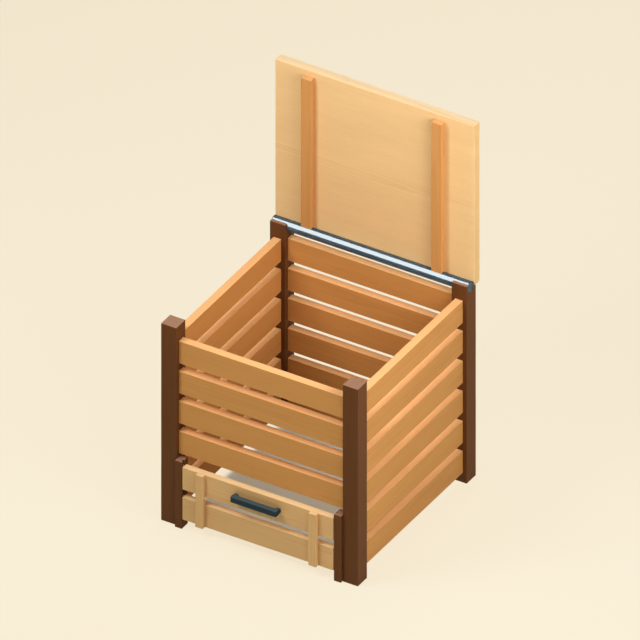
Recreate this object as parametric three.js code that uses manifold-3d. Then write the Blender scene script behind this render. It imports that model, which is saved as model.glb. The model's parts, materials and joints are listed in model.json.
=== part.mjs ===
import * as THREE from "three";
import { mergeVertices } from "three/addons/utils/BufferGeometryUtils.js";
import Module from "manifold-3d";

const wasm = await Module();
wasm.setup();

// Driving dimensions in millimetres. X runs to the right along the front, Y to the back, Z up.
const bin = { width: 770, depth: 770 };
const post = { width: 60, rise: 60, ease: 2 };
const slat = { height: 90, thickness: 30, gap: 32, groundGap: 40, ease: 1.5 };
const tenon = { length: 15, thickness: 12, shoulder: 10, endRoom: 1 };
const guide = { width: 28, depth: 40, rise: 18, ease: 1.5 };
const hatch = { thickness: 25, sideRoom: 2, runGap: 1, ease: 1.5 };
const tongue = { length: 8, thickness: 6, sideRoom: 0.5, endRoom: 1 };
const cleat = { width: 30, thickness: 15, endInset: 59, ease: 1.5 };
const handle = { length: 180, height: 22, reach: 32, bar: 21, lug: 15, raise: 5 };
const handleRound = { outer: 4, inner: 6, edge: 3 };
const tube = { radius: 20, wall: 2.5, frontWall: 6.5, belowTop: 14.7, room: 0.3 };
const plug = { flange: 2, spigot: 15, ease: 1 };
const lid = { height: 648, thickness: 36, overhang: 4, rebate: 18, closedGap: 0.5, ease: 3 };
const batten = { width: 40, thickness: 24, topInset: 22, sideInset: 114, screwInset: 43, ease: 2 };
const strap = { width: 28, thickness: 3, height: 110 };
const strapScrewShares = [0.32, 0.8];
const woodScrew = { shank: 2.2, head: 4.4, headDepth: 2.8, tip: 6, sink: 0.4 };
const screwLength = { cleat: 33, handle: 36, guide: 52, lid: 50 };
const fitGap = 0.3;
const overrun = 5;
const rowCount = { ofWall: 6, ofHatch: 2 };
const sideCount = { ofTube: 48, ofScrew: 12 };
const stepCount = { ofCorner: 5, ofEdge: 3 };

// Levels of the rows, which are the same on all four walls, and of the posts.
const pitch = slat.height + slat.gap;
const rowFoot = (row) => slat.groundGap + row * pitch;
const rowMiddle = (row) => rowFoot(row) + slat.height / 2;
const wallTop = rowFoot(rowCount.ofWall - 1) + slat.height;
const postHeight = wallTop + post.rise;
const postMiddle = post.width / 2;
const rearFace = bin.depth - post.width;

// The hatch runs just in front of the wall slats, flush with the guides on both sides of it.
const hatchRows = Array.from({ length: rowCount.ofHatch }, (_, row) => rowMiddle(row));
const hatchTop = rowFoot(rowCount.ofHatch - 1) + slat.height;
const hatchHeight = hatchTop - slat.groundGap;
const hatchBack = (post.width - slat.thickness) / 2 - hatch.runGap;
const hatchFace = hatchBack - hatch.thickness;
const hatchMiddleY = (hatchFace + hatchBack) / 2;
const hatchLeft = post.width + guide.width + hatch.sideRoom;
const hatchLength = bin.width - 2 * hatchLeft;
const cleatShift = hatchLength / 2 - cleat.endInset - cleat.width / 2;
const handleMiddleZ = hatchRows[rowCount.ofHatch - 1] + handle.raise;
const lugShift = (handle.length - handle.lug) / 2;
const guideMiddleY = hatchFace + guide.depth / 2;
const guideScrewY = (hatchBack + hatchFace + guide.depth) / 2;

// The hinge axis, and the lid as it stands open, with its face measured from the axis.
const bore = tube.radius + tube.room;
const axisY = rearFace + tube.frontWall + bore;
const axisZ = postHeight - tube.belowTop;
const lidWidth = bin.width + 2 * lid.overhang;
const lidFace = tube.belowTop + lid.closedGap;
const lidBack = lidFace + lid.thickness;
const lidFoot = tube.belowTop - lid.rebate;
const battenTop = lidFoot + lid.height - batten.topInset;
const battenShift = lidWidth / 2 - batten.sideInset - batten.width / 2;
const strapScrews = strapScrewShares.map((share) => share * strap.height);
const lidScrews = [...strapScrews, battenTop - batten.screwInset];

const darkWood = new THREE.MeshStandardMaterial({ color: 0x5a3520, roughness: 0.7 });
const slatWood = new THREE.MeshStandardMaterial({ color: 0xc2824a, roughness: 0.65 });
const hatchWood = new THREE.MeshStandardMaterial({ color: 0xd6ab70, roughness: 0.65 });
const lidWood = new THREE.MeshStandardMaterial({ color: 0xf0c084, roughness: 0.6 });
const battenWood = new THREE.MeshStandardMaterial({ color: 0xd69656, roughness: 0.65 });
const slateSteel = new THREE.MeshStandardMaterial({ color: 0x4a5c68, roughness: 0.3, metalness: 0.8 });
const darkEnamel = new THREE.MeshStandardMaterial({ color: 0x2e414c, roughness: 0.45 });
const zincSteel = new THREE.MeshStandardMaterial({ color: 0xa9adb0, roughness: 0.35, metalness: 1 });

const sidesOfBin = [
  { side: "left", way: -1, inward: 1 },
  { side: "right", way: 1, inward: -1 },
];

// A closed geometry as a solid that can be joined and cut.
function solid(geometry) {
  const bare = geometry.clone();
  bare.deleteAttribute("normal");
  bare.deleteAttribute("uv");
  const merged = mergeVertices(bare);
  return new wasm.Manifold(
    new wasm.Mesh({
      numProp: 3,
      vertProperties: merged.attributes.position.array,
      triVerts: new Uint32Array(merged.index.array),
    }),
  );
}

function geometryOf(made) {
  const mesh = made.getMesh();
  return new THREE.BufferGeometry()
    .setAttribute("position", new THREE.BufferAttribute(mesh.vertProperties, 3))
    .setIndex(new THREE.BufferAttribute(mesh.triVerts, 1));
}

const cut = (whole, cutters) =>
  geometryOf(cutters.reduce((left, cutter) => left.subtract(solid(cutter)), solid(whole)));
const join = (whole, additions) =>
  geometryOf(additions.reduce((sum, addition) => sum.add(solid(addition)), solid(whole)));

// A box between two opposite corners, given in either order.
function block(one, other) {
  const size = one.map((value, i) => Math.abs(other[i] - value));
  const middle = one.map((value, i) => (other[i] + value) / 2);
  return new THREE.BoxGeometry(...size).translate(...middle);
}

// A timber that stands on the origin along Z, with its arrises and ends eased.
function timber(width, depth, length, ease) {
  const [x, y] = [width / 2, depth / 2];
  const outline = new THREE.Shape([
    new THREE.Vector2(ease - x, -y),
    new THREE.Vector2(x - ease, -y),
    new THREE.Vector2(x, ease - y),
    new THREE.Vector2(x, y - ease),
    new THREE.Vector2(x - ease, y),
    new THREE.Vector2(ease - x, y),
    new THREE.Vector2(-x, y - ease),
    new THREE.Vector2(-x, ease - y),
  ]);
  return new THREE.ExtrudeGeometry(outline, {
    depth: length - 2 * ease,
    bevelThickness: ease,
    bevelSize: ease,
    bevelOffset: -ease,
    bevelSegments: 1,
  }).translate(0, 0, ease);
}

// A board that starts at the origin and runs along X, with its height along Z.
const board = (length, height, thickness, ease) =>
  timber(height, thickness, length, ease).rotateY(Math.PI / 2);

// The running space of the hinge tube, along X through the origin.
function tubeRoom(length) {
  return new THREE.CylinderGeometry(bore, bore, length, sideCount.ofTube).rotateZ(Math.PI / 2);
}

// A countersunk wood screw, its head at the origin and its point along -Y. Grown, it is its own hole.
function woodScrewGeometry(length, grow = 0) {
  const { shank, head, headDepth, tip, sink } = woodScrew;
  const profile = [
    new THREE.Vector2(0, -length - grow),
    new THREE.Vector2(shank + grow, tip - length),
    new THREE.Vector2(shank + grow, -sink - headDepth),
    new THREE.Vector2(head + grow, -sink - grow),
  ];
  if (grow > 0) profile.push(new THREE.Vector2(head + grow, overrun));
  profile.push(new THREE.Vector2(0, grow > 0 ? overrun : -sink));
  return new THREE.LatheGeometry(profile, sideCount.ofScrew);
}

const screwHole = (length, x, y, z) => woodScrewGeometry(length, fitGap).translate(x, y, z);

// The guide screws turn their points outwards, away from the hatch, into the posts.
const turnOutwards = (inward) => (-inward * Math.PI) / 2;
const guideScrewHole = (inward, x, y, z) =>
  woodScrewGeometry(screwLength.guide, fitGap).rotateZ(turnOutwards(inward)).translate(x, y, z);

const compostBin = new THREE.Group();
compostBin.position.set(-bin.width / 2, -(hatchFace - handle.reach + axisY + lidBack) / 2, 0);

function place(group, name, geometry, material, x = 0, y = 0, z = 0) {
  const mesh = new THREE.Mesh(geometry, material);
  mesh.name = name;
  mesh.position.set(x, y, z);
  group.add(mesh);
  return mesh;
}

// Corner posts stand on their own middle. Mortises open to the neighbouring posts, inward and onward.
function postGeometry(inward, onward, isRear) {
  const half = tenon.thickness / 2 + fitGap;
  const mouth = postMiddle + overrun;
  const floor = postMiddle - tenon.length - tenon.endRoom;
  const cutters = [];
  for (let row = 0; row < rowCount.ofWall; row++) {
    const foot = rowFoot(row) + tenon.shoulder - fitGap;
    const top = rowFoot(row) + slat.height - tenon.shoulder + fitGap;
    cutters.push(block([-half, onward * floor, foot], [half, onward * mouth, top]));
    if (isRear || row >= rowCount.ofHatch)
      cutters.push(block([inward * floor, -half, foot], [inward * mouth, half, top]));
  }
  if (isRear) {
    const axis = axisY - bin.depth + postMiddle;
    cutters.push(tubeRoom(2 * mouth).translate(0, axis, axisZ));
    cutters.push(block([-mouth, axis, axisZ + lidFoot - fitGap], [mouth, mouth, postHeight + overrun]));
  } else {
    const face = inward * (postMiddle + guide.width);
    const holeY = guideScrewY - postMiddle;
    cutters.push(...hatchRows.map((height) => guideScrewHole(inward, face, holeY, height)));
  }
  return cut(timber(post.width, post.width, postHeight, post.ease), cutters);
}

const acrossFrom = (inward, x) => (inward > 0 ? x : bin.width - x);
const rearPostY = bin.depth - postMiddle;

for (const { side, inward } of sidesOfBin) {
  const x = acrossFrom(inward, postMiddle);
  place(compostBin, `post_front_${side}`, postGeometry(inward, 1, false), darkWood, x, postMiddle);
  place(compostBin, `post_rear_${side}`, postGeometry(inward, -1, true), darkWood, x, rearPostY);
}

// Wall slats between two posts, with a stub tenon at both ends.
function slatGeometry(span) {
  const half = tenon.thickness / 2;
  const edge = slat.height / 2 - tenon.shoulder;
  const body = board(span - 2 * fitGap, slat.height, slat.thickness, slat.ease).translate(fitGap, 0, 0);
  return join(body, [block([-tenon.length, -half, -edge], [span + tenon.length, half, edge])]);
}

for (let row = 0; row < rowCount.ofWall; row++) {
  const height = rowMiddle(row);
  const across = slatGeometry(bin.width - 2 * post.width);
  const along = slatGeometry(bin.depth - 2 * post.width).rotateZ(Math.PI / 2);
  const number = row + 1;
  place(compostBin, `slat_rear_${number}`, across, slatWood, post.width, rearPostY, height);
  for (const { side, inward } of sidesOfBin) {
    const x = acrossFrom(inward, postMiddle);
    place(compostBin, `slat_${side}_${number}`, along.clone(), slatWood, x, post.width, height);
  }
  if (row >= rowCount.ofHatch)
    place(compostBin, `slat_front_${number}`, across.clone(), slatWood, post.width, postMiddle, height);
}

// Hatch guides, screwed to the inner faces of the front posts. Each has a groove that is closed at its foot.
function guideGeometry(inward) {
  const height = hatchTop + guide.rise;
  const face = guide.width / 2;
  const grooveHalf = tongue.thickness / 2 + tongue.sideRoom;
  const grooveFloor = face - tongue.length + hatch.sideRoom - tongue.endRoom;
  const grooveY = hatchMiddleY - guideMiddleY;
  const bar = timber(guide.width - fitGap, guide.depth, height, guide.ease);
  const groove = block(
    [inward * grooveFloor, grooveY - grooveHalf, slat.groundGap - fitGap],
    [inward * (face + overrun), grooveY + grooveHalf, height + overrun],
  );
  const holeY = guideScrewY - guideMiddleY;
  const holes = hatchRows.map((level) => guideScrewHole(inward, inward * face, holeY, level));
  return cut(bar.translate((inward * fitGap) / 2, 0, 0), [groove, ...holes]);
}

for (const { side, inward } of sidesOfBin) {
  const middle = acrossFrom(inward, post.width + guide.width / 2);
  const face = acrossFrom(inward, post.width + guide.width);
  place(compostBin, `guide_${side}`, guideGeometry(inward), darkWood, middle, guideMiddleY);
  hatchRows.forEach((height, row) => {
    const name = `guide_screw_${side}_${row + 1}`;
    const screw = woodScrewGeometry(screwLength.guide);
    place(compostBin, name, screw, zincSteel, face, guideScrewY, height).rotation.z = turnOutwards(inward);
  });
}

// The lift-up hatch: boards with end tongues, two cleats and a pull, measured from the middle of its back.
const liftHatch = new THREE.Group();
liftHatch.position.set(bin.width / 2, hatchBack, 0);
compostBin.add(liftHatch);

const handleScrewHoles = (y, z) =>
  sidesOfBin.map(({ way }) => screwHole(screwLength.handle, way * lugShift, y, z));

function hatchBoardGeometry(isTop) {
  const half = tongue.thickness / 2;
  const reach = hatchLength / 2 + tongue.length;
  const middle = -hatch.thickness / 2;
  const body = board(hatchLength, slat.height, hatch.thickness, hatch.ease);
  body.translate(-hatchLength / 2, middle, 0);
  const rise = slat.height / 2;
  const tongues = block([-reach, middle - half, -rise], [reach, middle + half, rise]);
  const holes = sidesOfBin.map(({ way }) => screwHole(screwLength.cleat, way * cleatShift, 0, 0));
  if (isTop) holes.push(...handleScrewHoles(0, handle.raise));
  return cut(join(body, [tongues]), holes);
}

hatchRows.forEach((height, row) => {
  const geometry = hatchBoardGeometry(row === rowCount.ofHatch - 1);
  place(liftHatch, `hatch_board_${row + 1}`, geometry, hatchWood, 0, 0, height);
});

function cleatGeometry() {
  const depth = cleat.thickness - fitGap;
  const bar = timber(cleat.width, depth, hatchHeight, cleat.ease);
  bar.translate(0, -hatch.thickness - fitGap - depth / 2, 0);
  const holes = hatchRows.map((height) => screwHole(screwLength.cleat, 0, 0, height - slat.groundGap));
  return cut(bar, holes);
}

for (const { side, way } of sidesOfBin) {
  place(liftHatch, `hatch_cleat_${side}`, cleatGeometry(), hatchWood, way * cleatShift, 0, slat.groundGap);
  hatchRows.forEach((height, row) => {
    const screw = woodScrewGeometry(screwLength.cleat);
    place(liftHatch, `cleat_screw_${side}_${row + 1}`, screw, zincSteel, way * cleatShift, 0, height);
  });
  const screw = woodScrewGeometry(screwLength.handle);
  place(liftHatch, `handle_screw_${side}`, screw, zincSteel, way * lugShift, 0, handleMiddleZ);
}

// The pull: a bar on two lugs in one piece, outlined in plan with its feet near y = 0.
function handleGeometry() {
  const { outer, inner, edge } = handleRound;
  const half = handle.length / 2;
  const inside = half - handle.lug;
  const throat = handle.reach - handle.bar;
  const plan = new THREE.Shape();
  plan.moveTo(-half, -fitGap);
  plan.lineTo(-half, outer - handle.reach);
  plan.absarc(outer - half, outer - handle.reach, outer, Math.PI, 1.5 * Math.PI, false);
  plan.lineTo(half - outer, -handle.reach);
  plan.absarc(half - outer, outer - handle.reach, outer, 1.5 * Math.PI, 2 * Math.PI, false);
  plan.lineTo(half, -fitGap);
  plan.lineTo(inside, -fitGap);
  plan.lineTo(inside, inner - throat);
  plan.absarc(inside - inner, inner - throat, inner, 0, -Math.PI / 2, true);
  plan.lineTo(inner - inside, -throat);
  plan.absarc(inner - inside, inner - throat, inner, -Math.PI / 2, -Math.PI, true);
  plan.lineTo(-inside, -fitGap);
  const rise = handle.height / 2 - edge;
  const bar = new THREE.ExtrudeGeometry(plan, {
    depth: 2 * rise,
    curveSegments: stepCount.ofCorner,
    bevelThickness: edge,
    bevelSize: edge,
    bevelOffset: -edge,
    bevelSegments: stepCount.ofEdge,
  }).translate(0, 0, -rise);
  const feet = sidesOfBin.map(({ way }) =>
    block([way * (half - edge), -throat, -rise], [way * (inside + edge), -fitGap, rise]),
  );
  return cut(join(bar, feet), handleScrewHoles(hatch.thickness, 0));
}

place(liftHatch, "hatch_handle", handleGeometry(), darkEnamel, 0, -hatch.thickness, handleMiddleZ);

// The lid, built about the hinge axis: a panel, two battens, two steel straps and the tube that it turns on.
const hingedLid = new THREE.Group();
hingedLid.position.set(bin.width / 2, axisY, axisZ);
compostBin.add(hingedLid);
const cove = () => tubeRoom(lidWidth + 2 * overrun);
const lidScrewHoles = (x) => lidScrews.map((height) => screwHole(screwLength.lid, x, lidBack, height));

function lidPanelGeometry() {
  const panel = timber(lidWidth, lid.thickness, lid.height, lid.ease);
  panel.translate(0, (lidFace + lidBack) / 2, lidFoot);
  return cut(panel, [cove(), ...sidesOfBin.flatMap(({ way }) => lidScrewHoles(way * battenShift))]);
}

function battenGeometry(x) {
  const depth = batten.thickness - fitGap;
  const half = strap.width / 2 + fitGap;
  const bar = timber(batten.width, depth, battenTop, batten.ease);
  const recess = block(
    [x - half, lidFace - strap.thickness - 2 * fitGap, -overrun],
    [x + half, lidFace, strap.height + fitGap],
  );
  return cut(bar.translate(x, lidFace - fitGap - depth / 2, 0), [cove(), recess, ...lidScrewHoles(x)]);
}

function strapGeometry(x) {
  const back = lidFace - fitGap;
  const half = strap.width / 2;
  const plate = block([x - half, back - strap.thickness, 0], [x + half, back, strap.height]);
  return cut(plate, [cove(), ...lidScrewHoles(x)]);
}

place(hingedLid, "lid_panel", lidPanelGeometry(), lidWood);
for (const { side, way } of sidesOfBin) {
  const x = way * battenShift;
  place(hingedLid, `lid_batten_${side}`, battenGeometry(x), battenWood);
  place(hingedLid, `hinge_strap_${side}`, strapGeometry(x), zincSteel);
  lidScrews.forEach((height, i) => {
    const screw = woodScrewGeometry(screwLength.lid);
    place(hingedLid, `lid_screw_${side}_${i + 1}`, screw, zincSteel, x, lidBack, height);
  });
}

// The hinge tube with a plug in each end, flush with the posts, both turned about Y and laid along X.
const tubeEnd = bin.width / 2 - plug.flange - fitGap;
const tubeInner = tube.radius - tube.wall;
const tubeProfile = [
  new THREE.Vector2(tubeInner, -tubeEnd),
  new THREE.Vector2(tube.radius, -tubeEnd),
  new THREE.Vector2(tube.radius, tubeEnd),
  new THREE.Vector2(tubeInner, tubeEnd),
  new THREE.Vector2(tubeInner, -tubeEnd),
];
const tubeGeometry = new THREE.LatheGeometry(tubeProfile, sideCount.ofTube);
place(hingedLid, "hinge_tube", tubeGeometry, slateSteel).rotation.z = Math.PI / 2;

const plugProfile = [
  new THREE.Vector2(0, -plug.spigot),
  new THREE.Vector2(tubeInner - fitGap, -plug.spigot),
  new THREE.Vector2(tubeInner - fitGap, 0),
  new THREE.Vector2(tube.radius, 0),
  new THREE.Vector2(tube.radius, plug.flange - plug.ease),
  new THREE.Vector2(tube.radius - plug.ease, plug.flange),
  new THREE.Vector2(0, plug.flange),
];
for (const { side, way } of sidesOfBin) {
  const plugGeometry = new THREE.LatheGeometry(plugProfile, sideCount.ofTube);
  const cap = place(hingedLid, `hinge_plug_${side}`, plugGeometry, slateSteel, way * (tubeEnd + fitGap));
  cap.rotation.z = (-way * Math.PI) / 2;
}

export default compostBin;
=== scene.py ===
import json
import math

import bpy
import numpy as np
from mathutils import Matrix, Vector

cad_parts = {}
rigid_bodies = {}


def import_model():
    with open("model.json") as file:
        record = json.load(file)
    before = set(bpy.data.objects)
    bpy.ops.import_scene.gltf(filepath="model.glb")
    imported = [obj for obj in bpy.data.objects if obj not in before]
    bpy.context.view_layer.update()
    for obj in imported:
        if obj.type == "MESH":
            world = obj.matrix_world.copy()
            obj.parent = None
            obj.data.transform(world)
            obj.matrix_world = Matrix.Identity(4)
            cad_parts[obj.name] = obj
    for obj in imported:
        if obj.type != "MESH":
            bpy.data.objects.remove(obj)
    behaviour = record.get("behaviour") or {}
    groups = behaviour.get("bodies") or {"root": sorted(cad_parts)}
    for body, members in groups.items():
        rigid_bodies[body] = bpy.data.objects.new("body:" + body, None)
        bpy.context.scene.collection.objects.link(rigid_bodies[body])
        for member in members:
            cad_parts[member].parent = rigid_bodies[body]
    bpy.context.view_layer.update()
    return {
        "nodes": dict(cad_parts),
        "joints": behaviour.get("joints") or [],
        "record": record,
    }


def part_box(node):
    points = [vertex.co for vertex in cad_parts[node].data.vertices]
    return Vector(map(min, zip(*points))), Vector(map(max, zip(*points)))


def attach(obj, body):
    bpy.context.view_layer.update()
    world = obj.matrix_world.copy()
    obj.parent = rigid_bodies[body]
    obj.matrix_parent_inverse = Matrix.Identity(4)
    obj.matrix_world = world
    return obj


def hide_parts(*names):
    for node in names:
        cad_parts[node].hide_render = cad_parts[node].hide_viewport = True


# Slatted timber compost bin: the lid stands open on a steel hinge tube, and the front hatch lifts in guides.
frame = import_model()
scene = bpy.context.scene
scene.view_settings.view_transform = "Standard"
print("frame loaded,", len(frame["nodes"]), "nodes")

mm = 0.001
pole = 0.02 * mm  # the small radius that closes a turned shape at its axis
bodyOf = {node: body for body, nodes in frame["record"]["behaviour"]["bodies"].items() for node in nodes}
slotOf = {row["node"]: row["material_slot"] for row in frame["record"]["subparts"]}
hinge = np.array(next(joint["pos_m"] for joint in frame["joints"] if joint["name"] == "lid_hinge"))


def corners(node):
    # lowest and highest corner of a CAD node
    low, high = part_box(node)
    return np.array(low), np.array(high)


def nodesLike(start):
    # the names of all nodes that start this way, in order
    return sorted(node for node in frame["nodes"] if node.startswith(start))


def sideOf(node):
    # left or right, the last word of a node's name
    return node.split("_")[-1]


def seen(red, green, blue):
    # a colour as a screen shows it, 0 to 255, turned into the linear light that shaders work in
    share = np.array([red, green, blue]) / 255
    return (*np.where(share <= 0.04045, share / 12.92, ((share + 0.055) / 1.055) ** 2.4), 1.0)


# The view, the floor and the studio lamps. Powers are in watts, and lengths in metres.
black = (0.0, 0.0, 0.0, 1.0)
view = dict(
    azimuth=30.93, elevation=34.45, aim=(0.0135, 0.0, 0.7342), across=2.1459, distance=8.0, farthest=200.0,
)
ground = dict(
    reach=40.0, shown=seen(253, 238, 211), lit=seen(216, 234, 228), litOutside=0.14, litInside=0.82,
    roughness=0.9, insideFrom=0.345, insideTo=0.315, middle=0.0125,
)
air = dict(colour=(1.0, 1.0, 1.0), strength=0.05, backdrop=seen(246, 235, 211))
lampAim = (0.0, 0.0, 0.6)
lamps = dict(
    key=dict(towards=(-0.44, -0.59, 0.68), distance=6.0, size=1.3, power=63.0, mirrored=False),
    keyHigh=dict(towards=(-0.26, -0.55, 0.79), distance=6.0, size=1.3, power=28.0, mirrored=False),
    frontLeftHigh=dict(towards=(-0.35, -0.6, 0.9), distance=2.6, size=1.3, power=26.5, mirrored=False),
    frontRight=dict(towards=(0.7, -0.7, 0.5), distance=2.6, size=1.3, power=12.2, mirrored=False),
    rightFar=dict(towards=(0.95, -0.15, 0.45), distance=7.0, size=3.5, power=95.0),
    rightNear=dict(towards=(0.785, -0.139, 0.604), distance=2.2, size=1.1, power=24.0),
    left=dict(towards=(-0.9, 0.1, 0.45), distance=2.6, size=1.3, power=13.0),
    overLidBack=dict(towards=(-0.05, 0.4, 0.92), distance=2.2, size=1.1, power=4.0),
    back=dict(towards=(-0.1, 0.8, 0.5), distance=4.0, size=2.0, power=34.0),
)
skyPatch = dict(
    towards=(-0.4238, -0.556, 0.715), distance=3.0, width=68.0, strength=18.5, colour=(0.86, 0.95, 1.0),
)


def aimed(towards, distance, aim):
    # the place at that distance from the aim, and the turn that looks back from it
    back = Vector(towards).normalized()
    return Vector(aim) + back * distance, (-back).to_track_quat("-Z", "Y").to_euler()


def setCamera(spec):
    # a camera without perspective. Its azimuth turns from the front towards the right. The way to it is
    # (sine of azimuth, minus cosine of azimuth) times the cosine of elevation, and upwards its sine.
    turn, lift = math.radians(spec["azimuth"]), math.radians(spec["elevation"])
    towards = (math.sin(turn) * math.cos(lift), -math.cos(turn) * math.cos(lift), math.sin(lift))
    data = bpy.data.cameras.new("photoView")
    data.type = "ORTHO"
    data.ortho_scale = spec["across"]
    data.clip_end = spec["farthest"]
    camera = bpy.data.objects.new("photoView", data)
    camera.location, camera.rotation_euler = aimed(towards, spec["distance"], spec["aim"])
    scene.collection.objects.link(camera)
    scene.camera = camera


def setLamp(name, spec):
    # a round soft lamp that the camera doesn't see, and that gloss sees unless mirrored is False
    data = bpy.data.lights.new(name, "AREA")
    data.shape = "DISK"
    data.size = spec["size"]
    data.energy = spec["power"]
    lamp = bpy.data.objects.new(name, data)
    lamp.location, lamp.rotation_euler = aimed(spec["towards"], spec["distance"], lampAim)
    lamp.visible_camera = False
    lamp.visible_glossy = spec.get("mirrored", True)
    scene.collection.objects.link(lamp)


def setSky(spec):
    # a wide round patch of pale sky, as a sun of that width in degrees, which only gloss sees
    data = bpy.data.lights.new("skyPatch", "SUN")
    data.angle = math.radians(spec["width"])
    data.energy = spec["strength"]
    data.color = spec["colour"]
    patch = bpy.data.objects.new("skyPatch", data)
    patch.location, patch.rotation_euler = aimed(spec["towards"], spec["distance"], lampAim)
    patch.visible_diffuse = False
    patch.visible_camera = False
    scene.collection.objects.link(patch)
    # it reaches only the pieces of its own collection, which join it as they are made
    patch.light_linking.receiver_collection = bpy.data.collections.new("skyMirrors")
    return patch.light_linking.receiver_collection.objects


class Level:
    # A number that varies over a surface. Arithmetic on it adds Math nodes to its own tree.
    def __init__(self, recipe, socket):
        self.recipe = recipe
        self.socket = socket

    def maths(self, operation, *values):
        return self.recipe.node("ShaderNodeMath", dict(operation=operation), values)

    def __add__(self, other):
        return self.maths("ADD", self, other)

    def __radd__(self, other):
        return self.maths("ADD", other, self)

    def __sub__(self, other):
        return self.maths("SUBTRACT", self, other)

    def __rsub__(self, other):
        return self.maths("SUBTRACT", other, self)

    def __mul__(self, other):
        return self.maths("MULTIPLY", self, other)

    def __rmul__(self, other):
        return self.maths("MULTIPLY", other, self)

    def __truediv__(self, other):
        return self.maths("DIVIDE", self, other)

    def __rtruediv__(self, other):
        return self.maths("DIVIDE", other, self)

    def __pow__(self, other):
        return self.maths("POWER", self, other)

    def __rpow__(self, other):
        return self.maths("POWER", other, self)

    def __abs__(self):
        return self.maths("ABSOLUTE", self)

    def fraction(self):
        # what is left after the whole number
        return self.maths("FRACT", self)

    def below(self, other):
        # the lesser of the two
        return self.maths("MINIMUM", self, other)

    def above(self, other):
        # the greater of the two
        return self.maths("MAXIMUM", self, other)

    def ramp(self, start, end):
        # 0 up to start, 1 from end on, in a smooth step between them; start may be the larger
        settings = dict(interpolation_type="SMOOTHSTEP")
        if start < end:
            return self.recipe.node("ShaderNodeMapRange", settings, [self, start, end, 0.0, 1.0])
        return self.recipe.node("ShaderNodeMapRange", settings, [self, end, start, 1.0, 0.0])


class Finish:
    # One material or world. node() adds any node: its settings first, then its sockets' values or links.
    def __init__(self, name, owner=None):
        self.owner = owner or bpy.data.materials.new(name)
        self.owner.use_nodes = True
        self.tree = self.owner.node_tree
        self.tree.nodes.clear()

    def node(self, kind, settings=None, sockets=(), out=0):
        made = self.tree.nodes.new(kind)
        for name, value in (settings or {}).items():
            setattr(made, name, value)
        for key, value in sockets.items() if isinstance(sockets, dict) else enumerate(sockets):
            if isinstance(value, Level):
                self.tree.links.new(value.socket, made.inputs[key])
            else:
                made.inputs[key].default_value = value
        return Level(self, made.outputs[out]) if made.outputs else made

    def vector(self, operation, *values, out=0):
        # arithmetic on whole vectors
        return self.node("ShaderNodeVectorMath", dict(operation=operation), values, out)

    def mix(self, share, one, other):
        # a colour between two others
        return self.node("ShaderNodeMix", dict(data_type="RGBA"), {0: share, 6: one, 7: other}, out=2)

    def noise(self, place, scale, detail, roughness=0.5):
        # the scale is one number, or one for each axis, which draws the noise out along the smallest
        if isinstance(scale, tuple):
            place, scale = self.vector("MULTIPLY", place, scale), 1.0
        sockets = {"Vector": place, "Scale": scale, "Detail": detail, "Roughness": roughness}
        return self.node("ShaderNodeTexNoise", {}, sockets)

    def parts(self, vector):
        # the three numbers of a vector
        made = self.node("ShaderNodeSeparateXYZ", {}, [vector])
        return [Level(self, socket) for socket in made.socket.node.outputs]

    def coordinate(self, kind):
        # where a point is, or which way its surface faces, as the object itself counts them
        return self.node("ShaderNodeTexCoord", {}, (), kind)

    def lookingUp(self, start, end):
        # 1 where the surface looks up: the height of its normal, in a smooth step from start to end
        return self.parts(self.coordinate("Normal"))[2].ramp(start, end)

    def seenDirectly(self):
        # 1 for the camera, for gloss and for what is seen through something clear, 0 for plain light
        ports = self.node("ShaderNodeLightPath").socket.node.outputs
        kinds = ("Camera", "Glossy", "Transmission")
        camera, gloss, clear = (Level(self, ports[f"Is {kind} Ray"]) for kind in kinds)
        return camera.above(gloss).above(clear)

    def bump(self, height, distance, strength):
        # a normal tilted by the slope of the height, as if it stood that distance proud where it is 1
        sockets = {"Height": height, "Distance": distance, "Strength": strength}
        return self.node("ShaderNodeBump", {}, sockets)

    def surface(self, **sockets):
        # the shader, with each socket named as a word, and the material that it makes
        values = {name.replace("_", " "): value for name, value in sockets.items()}
        shader = self.node("ShaderNodeBsdfPrincipled", {}, values)
        self.node("ShaderNodeOutputMaterial", {}, {"Surface": shader})
        return self.owner


def groundFinish(spec):
    # to the camera and in gloss most of the floor's colour is its own outside the bin, and the rest keeps
    # the shadow. Inside the bin's four walls most of it is lit, as any surface is.
    recipe = Finish("paleFloor")
    direct = recipe.seenDirectly()
    x, y, _ = recipe.parts(recipe.coordinate("Object"))
    inside = abs(x).above(abs(y - spec["middle"])).ramp(spec["insideFrom"], spec["insideTo"])
    litShare = spec["litOutside"] + inside * (spec["litInside"] - spec["litOutside"])
    ownShare = direct * (1 - litShare)
    own = recipe.mix(ownShare, black, spec["shown"])
    lit = recipe.mix(ownShare, spec["lit"], black)
    return recipe.surface(
        Base_Color=lit, Roughness=spec["roughness"], Specular_IOR_Level=0.0,
        Emission_Color=own, Emission_Strength=1.0,
    )


def setAir(spec):
    # ambient light, with a plain backdrop beyond the floor for the camera and for gloss
    world = scene.world or bpy.data.worlds.new("air")
    scene.world = world
    recipe = Finish("air", world)
    direct = recipe.seenDirectly()
    ambientLight = {"Color": (*spec["colour"], 1.0), "Strength": spec["strength"]}
    ambient = recipe.node("ShaderNodeBackground", {}, ambientLight)
    backdrop = recipe.node("ShaderNodeBackground", {}, {"Color": spec["backdrop"], "Strength": 1.0})
    both = recipe.node("ShaderNodeMixShader", {}, [direct, ambient, backdrop])
    recipe.node("ShaderNodeOutputWorld", {}, {"Surface": both})


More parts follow.
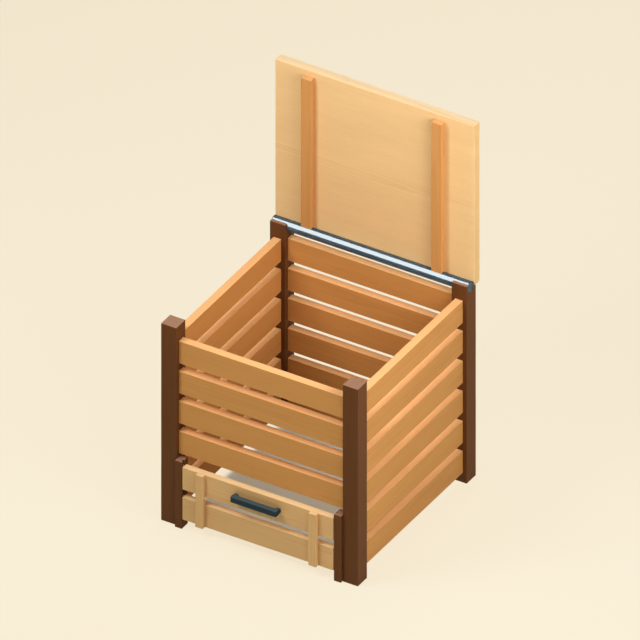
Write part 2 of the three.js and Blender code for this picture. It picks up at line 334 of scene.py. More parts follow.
def layGround(spec):
    # a flat square at height 0
    reach = spec["reach"]
    mesh = bpy.data.meshes.new("ground")
    points = [(-reach, -reach, 0), (reach, -reach, 0), (reach, reach, 0), (-reach, reach, 0)]
    mesh.from_pydata(points, [], [(0, 1, 2, 3)])
    mesh.materials.append(groundFinish(spec))
    floor = bpy.data.objects.new("ground", mesh)
    scene.collection.objects.link(floor)


setCamera(view)
setAir(air)
layGround(ground)
for name, spec in lamps.items():
    setLamp(name, spec)
skyMirrors = setSky(skyPatch)
print("camera, floor and lamps set")


# Skins: a skin is (points, faces), with its faces pointing outwards.
def ringSkin(rings, closed=False):
    # ring i joins ring i + 1 point by point in four-sided faces, and each end ring is one face; or, closed,
    # the last ring joins the first
    count, around = rings.shape[:2]
    ring = np.arange(count if closed else count - 1)[:, None] * around
    step = np.arange(around)[None, :]
    onward = (step + 1) % around
    nextRing = (ring + around) % (count * around)
    quads = np.stack([ring + step, ring + onward, nextRing + onward, nextRing + step], axis=2).reshape(-1, 4)
    faces = quads.tolist()
    if not closed:
        faces.append(list(range(around))[::-1])
        faces.append([(count - 1) * around + i for i in range(around)])
    return rings.reshape(-1, 3), faces


def roundedSections(along, halfWide, halfThick, radius, steps=4):
    # at each station a rectangle whose corners are quarter circles: the corner's own middle plus the radius
    # times the cosine and sine of an angle; (station, point, 3) with the length along the first axis
    angle = ((np.arange(4)[:, None] + np.linspace(0, 1, steps + 1)) * math.pi / 2).ravel()
    wideSide = np.repeat([1, -1, -1, 1], steps + 1)
    thickSide = np.repeat([1, 1, -1, -1], steps + 1)
    sizes = (halfWide, halfThick, radius)
    halfWide, halfThick, radius = (np.broadcast_to(size, along.shape)[:, None] for size in sizes)
    wide = wideSide * (halfWide - radius) + radius * np.cos(angle)
    thick = thickSide * (halfThick - radius) + radius * np.sin(angle)
    return np.stack([np.broadcast_to(along[:, None], wide.shape), wide, thick], axis=2)


def box(low, high):
    # a plain box between two corners, as a ring skin of two rings
    (x0, y0, z0), (x1, y1, z1) = low, high
    rings = np.array([[(x, y0, z0), (x, y1, z0), (x, y1, z1), (x, y0, z1)] for x in (x0, x1)], float)
    return ringSkin(rings)


def lathe(profile, axis, origin, around, closed=False):
    # a profile of (along, radius) turned about an axis: point = origin + along * axis + radius * (cosine *
    # side + sine * up); a radius of nearly nothing at the ends closes the poles
    axis = np.array(axis, float)
    side = np.cross(axis, (0.0, 0.0, 1.0))
    side /= np.linalg.norm(side)
    up = np.cross(axis, side)
    angle = np.linspace(0, 2 * math.pi, around, endpoint=False)
    along, radius = np.array(profile, float).T[:, :, None]
    circle = np.cos(angle)[:, None] * side + np.sin(angle)[:, None] * up
    rings = along[..., None] * axis + radius[..., None] * circle
    return ringSkin(rings + np.array(origin), closed)


def together(skins):
    # several skins that don't touch, as one
    points, faces, start = [], [], 0
    for skinPoints, skinFaces in skins:
        points.append(skinPoints)
        faces += [[index + start for index in face] for face in skinFaces]
        start += len(skinPoints)
    return np.concatenate(points), faces


def objectOf(name, skin):
    # a skin as an object of the scene
    points, faces = skin
    mesh = bpy.data.meshes.new(name)
    mesh.from_pydata(points.tolist(), [], faces)
    mesh.update()
    made = bpy.data.objects.new(name, mesh)
    scene.collection.objects.link(made)
    return made


def carved(name, skin, cutters):
    # the skin less each cutter in turn, as one finished mesh
    made = objectOf(name, skin)
    tools = [objectOf("cutter", cutter) for cutter in cutters]
    for tool in tools:
        trim = made.modifiers.new("trim", "BOOLEAN")
        trim.operation = "DIFFERENCE"
        trim.solver = "EXACT"
        trim.object = tool
    if tools:
        bpy.context.view_layer.update()
        graph = bpy.context.evaluated_depsgraph_get()
        made.data = bpy.data.meshes.new_from_object(made.evaluated_get(graph))
        made.modifiers.clear()
    for tool in tools:
        bpy.data.objects.remove(tool)
    return made


def shaded(piece, sharpFrom):
    # smooth over gentle turns, sharp at corners of that many degrees or more, with large flats kept flat
    piece.data.shade_smooth()
    piece.data.set_sharp_from_angle(angle=math.radians(sharpFrom))
    flats = piece.modifiers.new("flats", "WEIGHTED_NORMAL")
    flats.mode = "FACE_AREA"
    flats.keep_sharp = True
    flats.weight = 60  # 50 is even, and more lets the large faces lead


def install(piece, node, material):
    # the piece stands for its CAD node, rides on the same body and takes the given material
    piece.data.materials.clear()
    piece.data.materials.append(material)
    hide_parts(node)
    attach(piece, bodyOf[node])


# Timber. Every stick carries three vectors. The place of a point is measured from the stick's middle along
# its length, width and thickness. Half is half its size that way, and pith shifts the place to one that is
# measured from the heart of its tree.
evenNoise = 0.5  # what a noise comes to on average
plain = dict(
    # each noise: its scale along length, width and thickness, then its detail and its roughness
    driftNoise=((1.1, 9.0, 9.0), 2.0), fibreNoise=((9.0, 620.0, 620.0), 3.0, 0.6),
    poreNoise=((46.0, 1500.0, 1500.0), 1.0), cloudNoise=((2.4, 17.0, 17.0), 2.0),
    ringWidth=4.6 * mm, ringDrift=16 * mm, lateCurve=2.2, lateEnd=0.86, lateMean=0.2,
    poreFrom=0.64, poreTo=0.74, endFrom=0.9 * mm, endTo=0.5 * mm,
    arrisDrift=1.2 * mm, arrisFrom=3.4 * mm, arrisTo=0.9 * mm,
    # how much each darkens the wood, and how deeply dark goes into red, green and blue
    lateShare=0.12, fibreShare=0.16, poreShare=0.12, cloudShare=0.16, toneShare=0.08, endShare=0.05,
    # the edges' share lightens them, partly as wear and partly as a painted highlight
    arrisShare=0.06, deepens=(0.8, 1.0, 1.25), upFrom=0.6, upTo=0.95,
    roughness=0.6, fibreRough=0.16, lateRough=0.05, endRough=0.08, specular=0.1,
    bump=0.35, bumpHeight=0.25 * mm, fibreHeight=0.5, poreHeight=0.5, lateHeight=0.35,
)
# each timber's tone, and the lighter colour painted on its upward faces as painted light from above
timbers = dict(
    dark_wood=dict(plain, tone=seen(99, 58, 27), upward=seen(155, 117, 94), arrisShare=0.05),
    slat_wood=dict(plain, tone=seen(201, 138, 74), upward=seen(242, 182, 121)),
    hatch_wood=dict(plain, tone=seen(216, 166, 109), upward=seen(245, 207, 151)),
    lid_wood=dict(plain, tone=seen(236, 192, 134), upward=seen(247, 214, 166), ringWidth=6.5 * mm),
    batten_wood=dict(plain, tone=seen(204, 142, 79), upward=seen(240, 184, 123)),
)


def timberFinish(name, spec):
    # colour = (1 - dark * deepens) * tone, where dark is the sum of rings, fibres, pores, clouds and edges,
    # whose painted highlight lightens it; tops take a painted lighter tone
    recipe = Finish(name)
    kinds = ("place", "half", "pith")
    place, half, pith = (
        recipe.node("ShaderNodeAttribute", dict(attribute_name=kind), out="Vector") for kind in kinds
    )
    grain = recipe.vector("ADD", place, pith)
    # growth rings: the distance from the pith, bent by slow noise that is long drawn along the grain
    drift = recipe.noise(grain, *spec["driftNoise"])
    across = recipe.vector("MULTIPLY", grain, (0.0, 1.0, 1.0))
    distance = recipe.vector("LENGTH", across, out="Value") + drift * spec["ringDrift"]
    ring = (distance / spec["ringWidth"]).fraction()
    late = ring ** spec["lateCurve"] * (1 - ring.ramp(spec["lateEnd"], 1.0))
    # fibres and pores: fine noise, drawn out along the grain
    fibre = recipe.noise(grain, *spec["fibreNoise"])
    pore = recipe.noise(grain, *spec["poreNoise"]).ramp(spec["poreFrom"], spec["poreTo"])
    cloud = recipe.noise(grain, *spec["cloudNoise"])
    # edges: the gap that is neither the least nor the most of the three to the faces, as it is small only
    # near an arris. The wood is lightened along them, partly as wear and partly as a painted highlight.
    gaps = recipe.parts(recipe.vector("SUBTRACT", half, recipe.vector("ABSOLUTE", place)))
    endGap, wideGap, thickGap = gaps
    least = endGap.below(wideGap).below(thickGap)
    most = endGap.above(wideGap).above(thickGap)
    between = endGap + wideGap + thickGap - least - most
    arrisWearAndHighlight = (between + drift * spec["arrisDrift"]).ramp(spec["arrisFrom"], spec["arrisTo"])
    endGrain = endGap.ramp(spec["endFrom"], spec["endTo"])
    # each stick has its own tone
    own = dict(noise_dimensions="1D")
    tone = recipe.node("ShaderNodeTexWhiteNoise", own, {"W": recipe.parts(pith)[0]}, out="Value")
    dark = (late - spec["lateMean"]) * spec["lateShare"]
    dark = dark + (fibre - evenNoise) * spec["fibreShare"] + pore * spec["poreShare"]
    dark = dark + (cloud - evenNoise) * spec["cloudShare"] + (tone - evenNoise) * spec["toneShare"]
    # the edges are lightened: part wear, part painted highlight
    dark = dark + endGrain * spec["endShare"] - arrisWearAndHighlight * spec["arrisShare"]
    shade = recipe.vector("MULTIPLY_ADD", dark, [-share for share in spec["deepens"]], (1.0, 1.0, 1.0))
    # faces that look up take a lighter colour, painted light as if lit from above
    up = recipe.lookingUp(spec["upFrom"], spec["upTo"])
    colour = recipe.vector("MULTIPLY", shade, recipe.mix(up, spec["tone"], spec["upward"]))
    rough = spec["roughness"] + (fibre - evenNoise) * spec["fibreRough"]
    rough = rough - late * spec["lateRough"] + endGrain * spec["endRough"]
    height = fibre * spec["fibreHeight"] - pore * spec["poreHeight"] - late * spec["lateHeight"]
    bumped = recipe.bump(height, spec["bumpHeight"], spec["bump"])
    return recipe.surface(
        Base_Color=colour, Roughness=rough, Normal=bumped, Specular_IOR_Level=spec["specular"],
    )


woods = {slot: timberFinish(slot, spec) for slot, spec in timbers.items()}
print("timber finishes mixed")

# How a stick is cut from its tree, how its arrises wander, and from what angle its corners are sharp.
stick = dict(
    seed=7, pithWide=34 * mm, pithNear=26 * mm, pithFar=95 * mm, heartShare=0.3, cutUpTo=9, wanderUpTo=6,
    spacing=30 * mm, steps=4, taper=0.6, swing=0.14, slowWave=19, quickWave=47, quickShare=0.6,
    quickTurn=2.3, sharpFrom=32,
)
chance = np.random.default_rng(stick["seed"])


def easedStations(start, end, halfWide, halfThick, ease, wander, spec):
    # stations of one timber. At each end the section grows by ease less ease times the cosine of an angle
    # that turns a quarter. Between them the corner radius wanders in slow waves, as hand-eased arrises do.
    turn = np.linspace(math.pi / 2, 0, spec["steps"] + 1)
    tip, shrink = ease * (1 - np.sin(turn)), ease * (1 - np.cos(turn))
    count = max(3, int((end - start) / spec["spacing"]))
    middle = np.linspace(start + ease, end - ease, count)[1:-1]
    along = np.concatenate([start + tip, middle, end - tip[::-1]])
    inset = np.concatenate([shrink, np.zeros(len(middle)), shrink[::-1]])
    quick = np.sin(along * spec["quickWave"] + spec["quickTurn"] * wander)
    waves = np.sin(along * spec["slowWave"] + wander) + spec["quickShare"] * quick
    radius = ease * (1 - spec["taper"] * inset / ease) * (1 + spec["swing"] * waves)
    return along, halfWide - inset, halfThick - inset, radius


def withTenons(rings, half, reach, spec):
    # the sections of a tenon, its nose tapered, before those of the stick, and their mirror image after them
    wide, thick, nose = half[1] - spec["shoulder"], spec["thickness"] / 2, spec["nose"]
    along = np.array([-half[0], nose - half[0], -reach])
    taper = np.array([nose, 0, 0])
    tip = roundedSections(along, wide - taper, thick - taper, nose)
    return np.concatenate([tip, rings, tip[::-1] * (-1, 1, 1)])


def placed(rings, axes, middle):
    # rings worked out along their own length, width and thickness, laid along the frame's axes. An order of
    # axes that swaps two of them would turn the skin inside out, so there the points run the other way.
    laid = np.empty_like(rings)
    laid[..., axes] = rings
    swapped = tuple(axes) in ((1, 0, 2), (0, 2, 1), (2, 1, 0))
    return (laid[:, ::-1] if swapped else laid) + middle


def stamp(piece, middle, half, axes, pith):
    # writes place, half and pith on every point, in the order length, width, thickness
    count = len(piece.data.vertices)
    points = np.empty(count * 3, np.float32)
    piece.data.vertices.foreach_get("co", points)
    place = (points.reshape(-1, 3) - middle)[:, axes]
    vectors = dict(place=place, half=np.tile(half, (count, 1)), pith=np.tile(pith, (count, 1)))
    for name, values in vectors.items():
        attribute = piece.data.attributes.new(name, "FLOAT_VECTOR", "POINT")
        attribute.data.foreach_set("vector", values.astype(np.float32).ravel())


def timber(node, axes, ease, cutters=(), tenon=None, boxedHeart=False):
    # one stick with eased arrises and, where it has them, a tenon or tongue at both ends, in its CAD node's
    # box; axes are those of its length, width and thickness, and a boxed heart runs inside the stick
    axes = list(axes)
    low, high = corners(node)
    middle = (low + high) / 2
    half = ((high - low) / 2)[axes]
    reach = half[0] - (tenon["length"] if tenon else 0)
    wander = chance.uniform(0, stick["wanderUpTo"])
    rings = roundedSections(*easedStations(-reach, reach, half[1], half[2], ease, wander, stick))
    if tenon:
        rings = withTenons(rings, half, reach, tenon)
    piece = carved(f"timber_{node}", ringSkin(placed(rings, axes, middle)), cutters)
    shaded(piece, stick["sharpFrom"])
    if boxedHeart:
        wide, thick = chance.uniform(-stick["heartShare"], stick["heartShare"], 2) * half[1:]
    else:
        wide = chance.uniform(-1, 1) * stick["pithWide"]
        thick = chance.uniform(stick["pithNear"], stick["pithFar"])
        thick *= chance.choice([-1, 1])
    pith = np.array([chance.uniform(0, stick["cutUpTo"]), wide, thick])
    stamp(piece, middle, np.array([reach, half[1], half[2]]), axes, pith)
    install(piece, node, woods[slotOf[node]])


# Screws: a countersunk head with a cross recess, a threaded shank and a point.
screw = dict(
    head=4.2 * mm, headDepth=2.8 * mm, shank=2.1 * mm, root=1.45 * mm, pitch=2.4 * mm, point=6 * mm,
    faceShares=[0.02, *np.linspace(0.12, 0.94, 12), 0.985, 1.0], dome=0.12 * mm, rim=0.25 * mm, coneRings=4,
    recess=1.5 * mm, recessTaper=0.25, blade=0.75 * mm, bladeEdge=0.3 * mm, bladeReach=2.7 * mm,
    bladeEnd=0.4 * mm, neck=0.9 * mm, blunt=0.3 * mm, perPitch=5, toothCurve=1.5, pointShare=0.02,
    tipShort=0.05 * mm, around=48, sharpFrom=50,
)
screwHole = dict(play=0.35 * mm, mouth=0.1 * mm, past=4 * mm, foot=0.3 * mm, around=32)
# Screws point to the front, but for those that fix the guides, which point outwards into the posts.
frontwards = (0, -1, 0)
screwTurns = {"guide_screw_left": (-1, 0, 0), "guide_screw_right": (1, 0, 0)}


def screwLine(node):
    # the middle of a screw's head, its direction and its length, from its CAD box
    low, high = corners(node)
    turn = next((way for start, way in screwTurns.items() if node.startswith(start)), frontwards)
    direction = np.array(turn, float)
    length = abs((high - low) @ direction)
    return (low + high) / 2 - direction * length / 2, direction, length


def screwSkin(node, spec):
    # a grid of stations and angles. The radius follows the head, its cone, then the shank with a wave that
    # climbs one pitch a turn, and fades to the point. On the head the surface sinks where the cross is.
    head, direction, length = screwLine(node)
    angle = np.linspace(0, 2 * math.pi, spec["around"], endpoint=False)[None, :]
    face = np.array(spec["faceShares"])[:, None] * spec["head"]
    arm = np.minimum(abs(face * np.cos(angle)), abs(face * np.sin(angle)))
    inBlade = np.clip((spec["blade"] - arm) / spec["bladeEdge"], 0, 1)
    inCross = inBlade * np.clip((spec["bladeReach"] - face) / spec["bladeEnd"], 0, 1)
    dome = spec["dome"] * (face / spec["head"]) ** 2
    faceAlong = dome + inCross * spec["recess"] * (1 - spec["recessTaper"] * face / spec["bladeReach"])
    cone = np.linspace(0, 1, spec["coneRings"] + 1)[1:, None]
    coneAlong = spec["rim"] + cone * spec["headDepth"] + 0 * angle
    coneRadius = spec["head"] + cone * (spec["root"] - spec["head"]) + 0 * angle
    start, end = spec["headDepth"] + spec["neck"], length - spec["blunt"]
    shank = np.arange(start, end, spec["pitch"] / spec["perPitch"])[:, None]
    tooth = abs((shank / spec["pitch"] - angle / (2 * math.pi)) % 1 - 0.5) * 2
    left = np.clip((length - shank) / spec["point"], spec["pointShare"], 1)
    thread = (spec["shank"] - spec["root"]) * (1 - tooth) ** spec["toothCurve"]
    shankRadius = (spec["root"] + thread) * left
    tip = np.full_like(angle, length - spec["tipShort"])
    along = np.concatenate([faceAlong, coneAlong, shank + 0 * angle, tip])
    radius = np.concatenate([face + 0 * angle, coneRadius, shankRadius, np.full_like(angle, pole)])
    side = np.array([0.0, 0.0, 1.0])
    other = np.cross(direction, side)
    circle = np.cos(angle)[..., None] * side + np.sin(angle)[..., None] * other
    return ringSkin(head + along[..., None] * direction + radius[..., None] * circle)


def pocket(node, spec):
    # the hole that a screw sits in: the screw's outline grown by the play, and open past the face
    head, direction, length = screwLine(node)
    headRadius, shankRadius = screw["head"] + spec["play"], screw["shank"] + spec["play"]
    profile = [
        (-spec["past"], headRadius), (spec["mouth"], headRadius),
        (spec["mouth"] + screw["headDepth"], shankRadius), (length - screw["point"], shankRadius),
        (length + spec["play"], spec["foot"]),
    ]
    return lathe(profile, direction, head, spec["around"])


def pockets(names):
    # the holes of several screws as one cutter
    return together([pocket(name, screwHole) for name in names])


def makeScrews(material):
    # one for each screw of the CAD
    for node in sorted(node for node in frame["nodes"] if "_screw_" in node):
        piece = objectOf(f"threaded_{node}", screwSkin(node, screw))
        shaded(piece, screw["sharpFrom"])
        install(piece, node, material)


# The frame of the bin: four posts, the slats that are tenoned into them and the two guides of the hatch.
post = dict(ease=1.6 * mm)
slat = dict(ease=1.6 * mm, tenon=dict(length=15 * mm, thickness=12 * mm, shoulder=10 * mm, nose=1 * mm))
guide = dict(ease=1.4 * mm, groove=7 * mm, floor=39.7 * mm, endPlay=1 * mm, past=4 * mm)
joinery = dict(play=0.3 * mm, over=6 * mm)
aboutHinge = dict(origin=(0, hinge[1], hinge[2]), around=96)
upright = (2, 0, 1)  # the axes of length, width and thickness of a stick that stands
acrossFront = (0, 2, 1)  # of one that lies from left to right
alongSide = (1, 2, 0)  # and of one that lies from front to back


def mortises(node):
    # boxes round the tenons that enter this post: each slat's box, less its shoulders, grown by the play and
    # ended a little outside the face that the slat comes in by
    low, high = corners(node)
    tenon = slat["tenon"]
    play, over = joinery["play"], joinery["over"]
    found = []
    for name in nodesLike("slat_"):
        slatLow, slatHigh = corners(name)
        if np.all(slatLow < high) and np.all(slatHigh > low):
            size = slatHigh - slatLow
            run = int(np.argmax(size[:2]))
            thin = 1 - run
            boxLow, boxHigh = slatLow - play, slatHigh + play
            boxLow[2] += tenon["shoulder"]
            boxHigh[2] -= tenon["shoulder"]
            trim = (size[thin] - tenon["thickness"]) / 2
            boxLow[thin] += trim
            boxHigh[thin] -= trim
            if slatLow[run] > low[run]:
                boxHigh[run] = high[run] + over
            else:
                boxLow[run] = low[run] - over
            found.append(box(boxLow, boxHigh))
    return together(found)


def tubeBore(low, high):
    # room for the hinge tube through whatever lies between these corners: its radius and the play
    tubeLow, tubeHigh = corners("hinge_tube")
    radius = (tubeHigh - tubeLow)[2] / 2 + joinery["play"]
    run = [(low[0] - joinery["over"], radius), (high[0] + joinery["over"], radius)]
    return lathe(run, (1, 0, 0), **aboutHinge)


def hingeSeat(node):
    # what the tube and the lid take from a rear post: a bore, and the shoulder behind it
    low, high = corners(node)
    over = joinery["over"]
    lidFoot = corners("lid_panel")[0][2]
    shoulder = box((low[0] - over, hinge[1], lidFoot - joinery["play"]), high + over)
    return [tubeBore(low, high), shoulder]


def makePosts():
    # four posts, sawn round the heart of the tree. All are mortised. The rear ones are bored for the hinge,
    # and the front ones take the screws of the guides.
    for node in nodesLike("post_"):
        cutters = [mortises(node)]
        if "rear" in node:
            cutters += hingeSeat(node)
        else:
            cutters.append(pockets(nodesLike(f"guide_screw_{sideOf(node)}")))
        timber(node, upright, post["ease"], cutters, boxedHeart=True)


def makeSlats():
    # all the slats of the four walls, with a tenon at both ends
    for node in nodesLike("slat_"):
        axes = acrossFront if "front" in node or "rear" in node else alongSide
        timber(node, axes, slat["ease"], tenon=slat["tenon"])


def makeGuides():
    # each guide has a groove for the boards' tongues, from its floor up through the top, open to the hatch
    boardLow, boardHigh = corners("hatch_board_1")
    middle = (boardLow[1] + boardHigh[1]) / 2
    for node in nodesLike("guide_left") + nodesLike("guide_right"):
        low, high = corners(node)
        side = sideOf(node)
        past = guide["past"]
        slotLow = np.array([boardLow[0] - guide["endPlay"], middle - guide["groove"] / 2, guide["floor"]])
        slotHigh = np.array([high[0] + past, middle + guide["groove"] / 2, high[2] + past])
        if side == "right":
            slotLow[0], slotHigh[0] = low[0] - past, boardHigh[0] + guide["endPlay"]
        holes = pockets(nodesLike(f"guide_screw_{side}"))
        timber(node, upright, guide["ease"], [box(slotLow, slotHigh), holes])


makePosts()
makeSlats()
makeGuides()
print("posts, slats and guides made")

# The hatch: two boards that run in the guides by their end tongues, two cleats and a pull.
hatch = dict(ease=1.6 * mm, tongue=dict(length=8 * mm, thickness=6 * mm, shoulder=0.0, nose=0.8 * mm))
cleat = dict(ease=1.4 * mm)
handle = dict(
    bar=21 * mm, lug=15 * mm, inner=6 * mm, square=12.0, neckShare=0.8, neckTo=0.45, edge=2.4 * mm,
    edgeShare=0.8, footRings=4, bendRings=12, barRings=15, cornerSteps=6, sharpFrom=60,
)
enamel = dict(
    # the last colour is painted on faces that look up, as a painted highlight
    deep=seen(18, 36, 44), pale=seen(32, 54, 62), dust=seen(67, 82, 87), metallic=0.0, specular=0.14,
    peelNoise=(900.0, 2.0), cloudNoise=(26.0, 3.0), speckNoise=(2400.0, 1.0), speckFrom=0.66, speckTo=0.74,
    cloudTone=0.7, speckTone=0.5, upFrom=0.5, upTo=0.9, dustLeast=0.8, dustCloud=0.3,
    roughness=0.4, cloudRough=0.12, peelRough=0.06, dustRough=0.1, bump=0.25, bumpHeight=0.08 * mm,
)


def makeHatch():
    # the boards with their tongues, the upper one also drilled for the pull, then the cleats over both
    for node in nodesLike("hatch_board_"):
        row = node[-1]
        screws = [name for name in nodesLike("cleat_screw_") if name.endswith(row)]
        if row == "2":
            screws += nodesLike("handle_screw_")
        timber(node, acrossFront, hatch["ease"], [pockets(screws)], tenon=hatch["tongue"])
    for node in nodesLike("hatch_cleat_"):
        holes = pockets(nodesLike(f"cleat_screw_{sideOf(node)}"))
        timber(node, upright, cleat["ease"], [holes])


def handleSkin(spec):
    # a rounded section carried out along a lug, round a bend, along the bar and back. Round a bend it turns
    # about the middle of the inner curve, and its outer reach is a superellipse of the lug's and the bar's.
    low, high = corners("hatch_handle")
    middle = (low + high) / 2
    halfLong, halfTall = (high - low)[0] / 2, (high - low)[2] / 2
    pivot = np.array([halfLong - spec["lug"] - spec["inner"], low[1] + spec["bar"] + spec["inner"]])
    barReach, lugReach = spec["bar"] + spec["inner"], spec["lug"] + spec["inner"]
    angle = np.linspace(0, math.pi / 2, spec["bendRings"] + 1)
    power = spec["square"]
    outer = ((np.cos(angle) / lugReach) ** power + (np.sin(angle) / barReach) ** power) ** (-1 / power)
    away = np.stack([np.cos(angle), -np.sin(angle)], axis=1)
    # from the right foot: the lug straight out, then the bend towards the bar's middle
    footCount, barCount = spec["footRings"], spec["barRings"]
    foot = np.linspace(high[1], pivot[1], footCount + 1)[:-1]
    lug = np.stack([np.full(footCount, pivot[0]), foot], axis=1)
    origin = np.concatenate([lug, np.tile(pivot, (len(angle), 1))])
    out = np.concatenate([np.tile([1.0, 0.0], (footCount, 1)), away])
    far = np.concatenate([np.full(footCount, lugReach), outer])
    # then along the bar to its middle, and all of it mirrored for the left half
    run = np.linspace(pivot[0], -pivot[0], barCount + 2)[1:-1]
    bar = np.stack([run, np.full(barCount, pivot[1])], axis=1)
    origin = np.concatenate([origin, bar, (origin * (-1, 1))[::-1]])
    out = np.concatenate([out, np.tile([0.0, -1.0], (barCount, 1)), (out * (-1, 1))[::-1]])
    far = np.concatenate([far, np.full(barCount, barReach), far[::-1]])
    half = (far - spec["inner"]) / 2
    # a lug is lower than the bar, and swells to its height within the bend
    swell = np.clip(angle / (math.pi / 2 * spec["neckTo"]), 0, 1)
    swell = np.concatenate([np.zeros(footCount), swell ** 2 * (3 - 2 * swell)])
    swell = np.concatenate([swell, np.ones(barCount), swell[::-1]])
    tall = halfTall * (spec["neckShare"] + (1 - spec["neckShare"]) * swell)
    edge = np.minimum(spec["edge"], half * spec["edgeShare"])
    sections = roundedSections(np.zeros(len(far)), half, tall, edge, spec["cornerSteps"])
    reach = (far + spec["inner"])[:, None] / 2 + sections[..., 1]
    rings = np.stack([
        middle[0] + origin[:, None, 0] + reach * out[:, None, 0],
        origin[:, None, 1] + reach * out[:, None, 1],
        middle[2] + sections[..., 2],
    ], axis=2)
    return ringSkin(rings[:, ::-1])


def enamelFinish(name, spec):
    # paint with a faint peel, clouds and specks, and a painted highlight on what looks up, lighter in faint
    # clouds
    recipe = Finish(name)
    place = recipe.coordinate("Object")
    peel = recipe.noise(place, *spec["peelNoise"])
    cloud = recipe.noise(place, *spec["cloudNoise"])
    speck = recipe.noise(place, *spec["speckNoise"]).ramp(spec["speckFrom"], spec["speckTo"])
    up = recipe.lookingUp(spec["upFrom"], spec["upTo"])
    clean = recipe.mix(cloud * spec["cloudTone"] + speck * spec["speckTone"], spec["deep"], spec["pale"])
    # faces that look up are painted lighter: a painted highlight of the light from above
    colour = recipe.mix(up * (spec["dustLeast"] + cloud * spec["dustCloud"]), clean, spec["dust"])
    rough = spec["roughness"] + (cloud - evenNoise) * spec["cloudRough"]
    rough = rough + (peel - evenNoise) * spec["peelRough"] + up * spec["dustRough"]
    return recipe.surface(
        Base_Color=colour, Roughness=rough, Normal=recipe.bump(peel, spec["bumpHeight"], spec["bump"]),
        Metallic=spec["metallic"], Specular_IOR_Level=spec["specular"],
    )


makeHatch()
grip = objectOf("hatch_pull", handleSkin(handle))
shaded(grip, handle["sharpFrom"])
install(grip, "hatch_handle", enamelFinish("dark_enamel", enamel))
print("hatch made")

# The lid: a panel with two battens on its inner face, coped round the tube that it turns on.
lid = dict(ease=2.4 * mm)
batten = dict(ease=1.6 * mm, strapPlay=0.6 * mm)
tube = dict(wall=2.5 * mm, lip=0.8 * mm, lipRings=4, outerRings=22, leastGap=0.001 * mm, sharpFrom=40)
plug = dict(
    play=0.3 * mm, lead=1 * mm, flange=2 * mm, back=0.3 * mm, ease=1 * mm, easeRings=5, rim=3.2 * mm,
    slope=1 * mm, dish=0.6 * mm, sharpFrom=40,
)
drawn = dict(
    lineNoise=((6.0, 700.0, 700.0), 2.0), cloudNoise=(18.0, 3.0), lineTone=0.4, cloudTone=0.6, lineRough=0.4,
    cloudRough=0.3, bumpHeight=0.04 * mm, metallic=0.0, specular=0.5,
)
slate = dict(drawn, deep=seen(40, 58, 70), pale=seen(60, 78, 88), roughness=0.05, bump=0.03)
capped = dict(slate, deep=seen(34, 50, 60), pale=seen(50, 66, 76), roughness=0.14, specular=0.15)
zinc = dict(
    drawn, deep=seen(150, 154, 158), pale=seen(190, 192, 194), roughness=0.36, bump=0.3, metallic=1.0,
)


def makeLid():
    # the panel, then each batten with a recess for its strap
    low, high = corners("lid_panel")
    cove = tubeBore(low, high)
    timber("lid_panel", acrossFront, lid["ease"], [cove, pockets(nodesLike("lid_screw_"))])
    for node in nodesLike("lid_batten_"):
        side = sideOf(node)
        strapLow, strapHigh = corners(f"hinge_strap_{side}")
        recess = box(strapLow - batten["strapPlay"], strapHigh + batten["strapPlay"])
        holes = pockets(nodesLike(f"lid_screw_{side}"))
        timber(node, upright, batten["ease"], [cove, recess, holes])


def tubeSkin(spec):
    # the wall's outline, a long rectangle with rounded lips, turned about the hinge
    low, high = corners("hinge_tube")
    start, end = low[0], high[0]
    outside = (high - low)[2] / 2
    inside, lip = outside - spec["wall"], spec["lip"]
    turn = np.linspace(0, math.pi / 2, spec["lipRings"])
    out, back = lip * np.sin(turn), lip * np.cos(turn)
    outerRun = np.linspace(start + lip, end - lip, spec["outerRings"] + 2)[1:-1]
    profile = np.concatenate([
        np.stack([start + lip - out[::-1], outside - lip + back[::-1]], axis=1),
        np.stack([outerRun, np.full(len(outerRun), outside)], axis=1),
        np.stack([end - lip + out, outside - lip + back], axis=1),
        np.stack([end - lip + out[::-1], inside + lip - back[::-1]], axis=1),
        np.stack([start + lip - out, inside + lip - back], axis=1),
    ])
    # points that fall together are kept once
    keep = np.append(np.linalg.norm(np.diff(profile, axis=0), axis=1) > spec["leastGap"], True)
    return lathe(profile[keep], (1, 0, 0), **aboutHinge, closed=True)


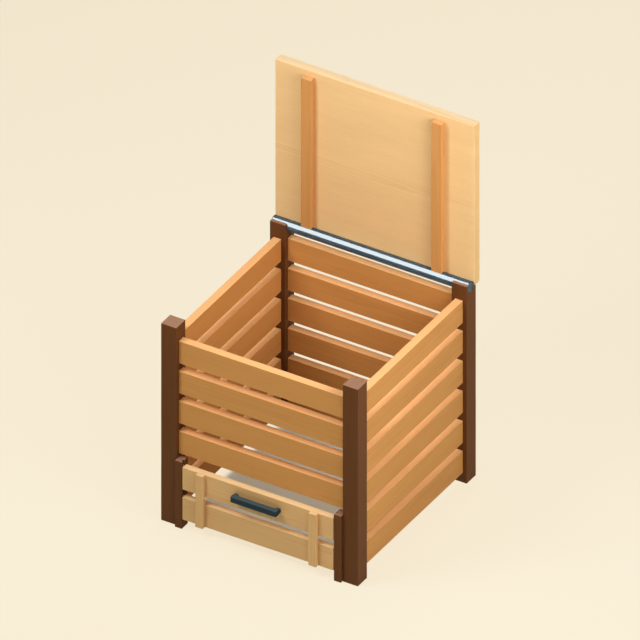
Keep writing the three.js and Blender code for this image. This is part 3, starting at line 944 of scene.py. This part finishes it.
def plugSkin(node, spec):
    # spigot, flange with a rounded rim, and a shallow dish in the face: a profile turned about the hinge
    low, high = corners(node)
    outside = (high - low)[2] / 2
    spigot = outside - tube["wall"] - spec["play"]
    length = (high - low)[0]
    flange, ease, rim = length - spec["flange"], spec["ease"], outside - spec["rim"]
    turn = np.linspace(0, math.pi / 2, spec["easeRings"])
    profile = np.concatenate([
        [(0.0, pole), (0.0, spigot - spec["lead"]), (spec["lead"], spigot), (flange, spigot)],
        [(flange, outside - spec["back"]), (flange + spec["back"], outside)],
        np.stack([length - ease + ease * np.sin(turn), outside - ease + ease * np.cos(turn)], axis=1),
        [(length, rim), (length - spec["dish"], rim - spec["slope"]), (length - spec["dish"], pole)],
    ])
    right = low[0] > 0
    origin = (low[0] if right else high[0], hinge[1], hinge[2])
    return lathe(profile, (1 if right else -1, 0, 0), origin, aboutHinge["around"])


def steelFinish(name, spec):
    # drawn metal: fine lines along the tube and faint clouds
    recipe = Finish(name)
    place = recipe.coordinate("Object")
    lines = recipe.noise(place, *spec["lineNoise"])
    cloud = recipe.noise(place, *spec["cloudNoise"])
    colour = recipe.mix(cloud * spec["cloudTone"] + lines * spec["lineTone"], spec["deep"], spec["pale"])
    uneven = (lines - evenNoise) * spec["lineRough"]
    rough = spec["roughness"] * (1 + uneven + (cloud - evenNoise) * spec["cloudRough"])
    return recipe.surface(
        Base_Color=colour, Roughness=rough, Normal=recipe.bump(lines, spec["bumpHeight"], spec["bump"]),
        Metallic=spec["metallic"], Specular_IOR_Level=spec["specular"],
    )


slateSteel = steelFinish("slate_steel", slate)
cappedSteel = steelFinish("capped_steel", capped)
zincSteel = steelFinish("zinc_steel", zinc)
makeLid()
rod = objectOf("turned_hinge_tube", tubeSkin(tube))
shaded(rod, tube["sharpFrom"])
install(rod, "hinge_tube", slateSteel)
skyMirrors.link(rod)
for node in nodesLike("hinge_plug_"):
    cap = objectOf(f"turned_{node}", plugSkin(node, plug))
    shaded(cap, plug["sharpFrom"])
    install(cap, node, cappedSteel)
    skyMirrors.link(cap)
makeScrews(zincSteel)
for node in nodesLike("hinge_strap_"):
    # a strap keeps its CAD shape and takes a finish
    strap = frame["nodes"][node]
    strap.data.materials.clear()
    strap.data.materials.append(zincSteel)
print("lid, hinge and screws made")
